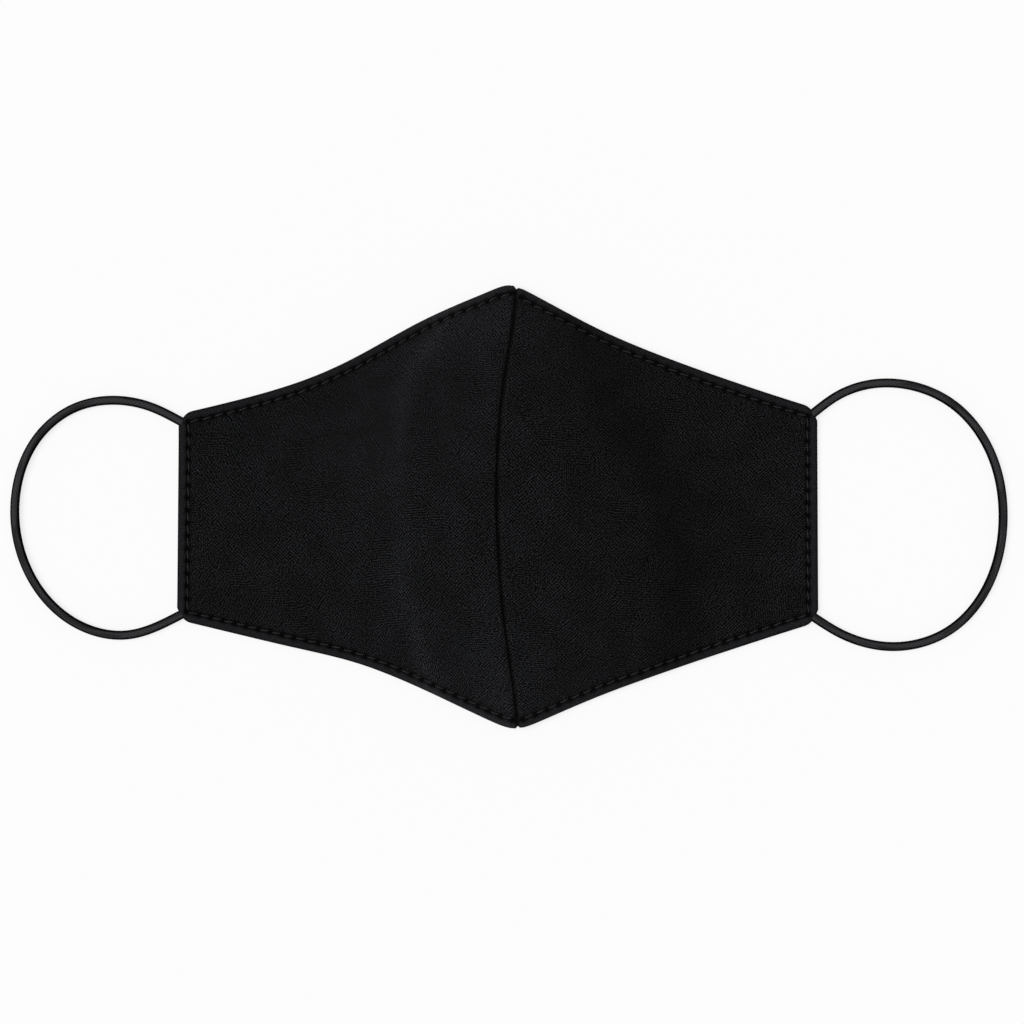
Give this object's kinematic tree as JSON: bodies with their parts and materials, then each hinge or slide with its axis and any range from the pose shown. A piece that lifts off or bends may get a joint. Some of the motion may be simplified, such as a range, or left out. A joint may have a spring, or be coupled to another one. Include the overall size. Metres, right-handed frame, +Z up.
{
  "type": "cloth face mask",
  "caption": "Near-black shaped cloth face mask with a curved centre seam, topstitched hems and round elastic ear loops, lying face up with its dome raised.",
  "frame": {"origin": "centre of the mask's footprint, on the surface it lies on (the cloth panels' bounding box, bottom centre)", "axes": "+X from the left side hem to the right side hem, seen face up with the nose edge away; +Y towards the nose edge; +Z up, out of the face side"},
  "size_m": [0.3276, 0.145, 0.029],
  "materials": {
    "mask_cloth": "matte",
    "elastic_cord": "satin",
    "sewing_thread": "satin"
  },
  "bodies": {
    "root": {"left_panel": "mask_cloth", "right_panel": "mask_cloth", "ear_loop_left": "elastic_cord", "ear_loop_right": "elastic_cord"}
  },
  "joints": []
}
